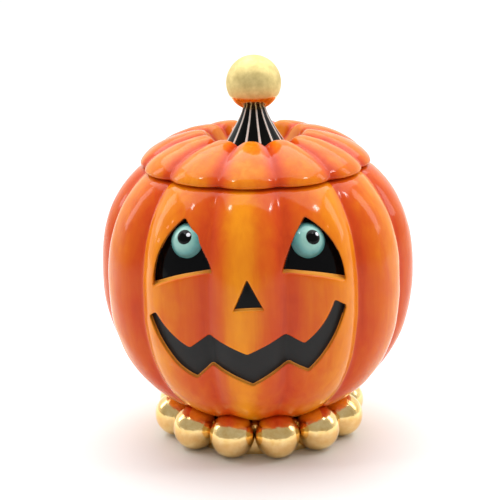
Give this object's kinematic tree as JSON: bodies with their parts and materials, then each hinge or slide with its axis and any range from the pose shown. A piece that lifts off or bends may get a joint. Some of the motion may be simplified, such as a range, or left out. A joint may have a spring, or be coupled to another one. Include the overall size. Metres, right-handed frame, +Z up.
{
  "type": "lidded pumpkin jar",
  "caption": "Ribbed ceramic pumpkin jar with a carved, painted face, a foot of gilded beads and a lift-off lid with a striped stem and a gold ball.",
  "frame": {"origin": "centre of the foot, on the surface the jar stands on", "axes": "+Z up along the axis of the jar; the face looks along -Y; +X to the right of a person facing the face"},
  "size_m": [0.2434, 0.2434, 0.3008],
  "materials": {
    "orange_glaze": "airbrushed underglaze under a clear gloss glaze, matt black in the carved face",
    "eye_glaze": "gloss glaze",
    "pupil_glaze": "raised gloss enamel",
    "gilt": "gold leaf and lustre over glaze, polished",
    "black_glaze": "gloss black with raised white lines",
    "clear_silicone": "translucent silicone",
    "steel": "zinc plated"
  },
  "bodies": {
    "jar": {"jar_body": "orange_glaze", "left_eyeball": "eye_glaze", "right_eyeball": "eye_glaze", "left_pupil": "pupil_glaze", "right_pupil": "pupil_glaze", "foot_ring": "gilt", "bead_01": "gilt", "bead_02": "gilt", "bead_03": "gilt", "bead_04": "gilt", "bead_05": "gilt", "bead_06": "gilt", "bead_07": "gilt", "bead_08": "gilt", "bead_09": "gilt", "bead_10": "gilt", "bead_11": "gilt", "bead_12": "gilt"},
    "lid_assembly": {"lid": "orange_glaze", "lid_seal": "clear_silicone", "stem": "black_glaze", "gold_ball": "gilt", "stud": "steel", "washer": "steel", "nut": "steel"}
  },
  "joints": [
    {"name": "lid_lift", "type": "slide", "parent": "jar", "child": "lid_assembly", "axis": [0, 0, 1], "range_m": [0, 0.05]}
  ]
}
